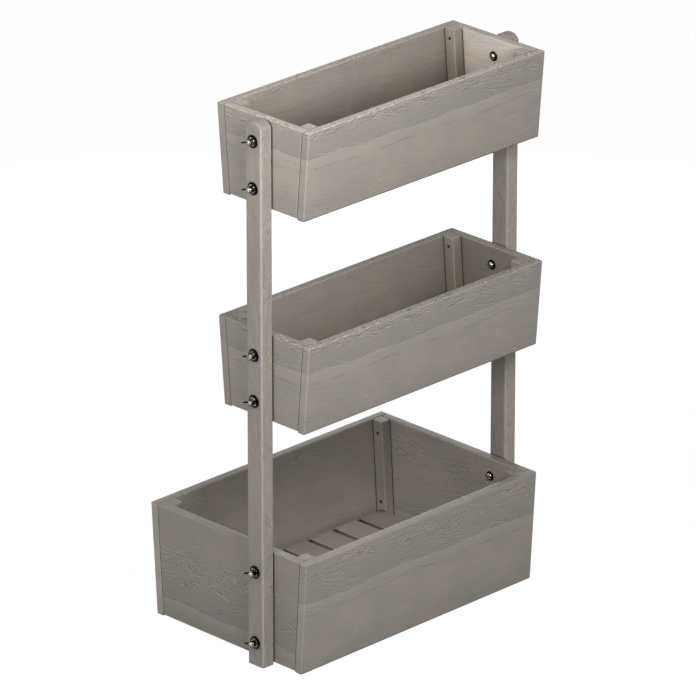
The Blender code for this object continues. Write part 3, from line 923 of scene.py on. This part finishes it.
def add_surroundings(fill):
    """An even light from all round, seen as plain white."""
    world = bpy.data.worlds.new("white_studio")
    bpy.context.scene.world = world
    world.use_nodes = True
    tree = world.node_tree
    strength = add_node(tree, RANGE, {
        "Value": seen_directly(tree), "To Min": fill, "To Max": 1.0})
    plug(tree, tree.nodes["Background"], {"Color": (1.0, 1.0, 1.0, 1.0), "Strength": strength})


def add_lamp(name, place, size, power):
    """A square soft lamp that the camera doesn't see, aimed at the planter."""
    lamp = bpy.data.lights.new(name, "AREA")
    lamp.shape = "SQUARE"
    lamp.size = size
    lamp.energy = power
    holder = bpy.data.objects.new(name, lamp)
    holder.location = place
    away = Vector(place) - Vector(LAMP_AIM)
    holder.rotation_euler = away.to_track_quat("Z", "Y").to_euler()
    holder.visible_camera = False
    bpy.context.scene.collection.objects.link(holder)


def add_camera():
    """The camera at the photograph's angle."""
    scene = bpy.context.scene
    away = Vector((
        math.sin(VIEW_AZIMUTH) * math.cos(VIEW_ELEVATION),
        -math.cos(VIEW_AZIMUTH) * math.cos(VIEW_ELEVATION),
        math.sin(VIEW_ELEVATION)))
    camera = bpy.data.cameras.new("camera")
    camera.lens = FOCAL_LENGTH
    camera.sensor_width = SENSOR
    camera.clip_end = FAR_CLIP
    holder = bpy.data.objects.new("camera", camera)
    holder.location = VIEW_TARGET + away * VIEW_DISTANCE
    holder.rotation_euler = away.to_track_quat("Z", "Y").to_euler()
    scene.collection.objects.link(holder)
    scene.camera = holder


class PLANTER_OT_studio(bpy.types.Operator):
    """Sets the floor, the lights, the white surroundings and the camera"""
    bl_idname = "planter.studio"
    bl_label = "Studio"

    def execute(self, context):
        settings = context.scene.planter_studio
        add_floor()
        add_surroundings(settings.fill)
        for name, place, size, share in LAMPS:
            add_lamp(name, place, size, settings.key_power * share)
        add_camera()
        context.scene.view_settings.view_transform = "Standard"
        return {"FINISHED"}


class PLANTER_PT_panel(bpy.types.Panel):
    """Lists the planter's settings and the steps that dress it"""
    bl_idname = "PLANTER_PT_panel"
    bl_label = "Planter"
    bl_space_type = "VIEW_3D"
    bl_region_type = "UI"
    bl_category = "Planter"

    def draw(self, context):
        column = self.layout.column()
        for group, names in (
                (context.scene.planter_wood, ("plain", "wear_and_highlight", "drift", "bump")),
                (context.scene.planter_fasteners, ("thread_turns", "screw_radius")),
                (context.scene.planter_studio, ("key_power", "fill"))):
            for name in names:
                column.prop(group, name)
        for operator in OPERATORS:
            column.operator(operator.bl_idname)


OPERATORS = (
    PLANTER_OT_studio, PLANTER_OT_boards, PLANTER_OT_battens, PLANTER_OT_posts,
    PLANTER_OT_floors, PLANTER_OT_fasteners, PLANTER_OT_screws)
GROUPS = (PlanterWood, PlanterFasteners, PlanterStudio)
CLASSES = GROUPS + OPERATORS + (PLANTER_PT_panel,)


def register():
    for item in CLASSES:
        bpy.utils.register_class(item)
    bpy.types.Scene.planter_wood = PointerProperty(type=PlanterWood)
    bpy.types.Scene.planter_fasteners = PointerProperty(type=PlanterFasteners)
    bpy.types.Scene.planter_studio = PointerProperty(type=PlanterStudio)


def unregister():
    del bpy.types.Scene.planter_studio
    del bpy.types.Scene.planter_fasteners
    del bpy.types.Scene.planter_wood
    for item in reversed(CLASSES):
        bpy.utils.unregister_class(item)


def main():
    register()
    bpy.ops.planter.studio()
    bpy.ops.planter.boards()
    bpy.ops.planter.battens()
    bpy.ops.planter.posts()
    bpy.ops.planter.floors()
    bpy.ops.planter.fasteners()
    bpy.ops.planter.screws()


if __name__ == "__main__":
    main()
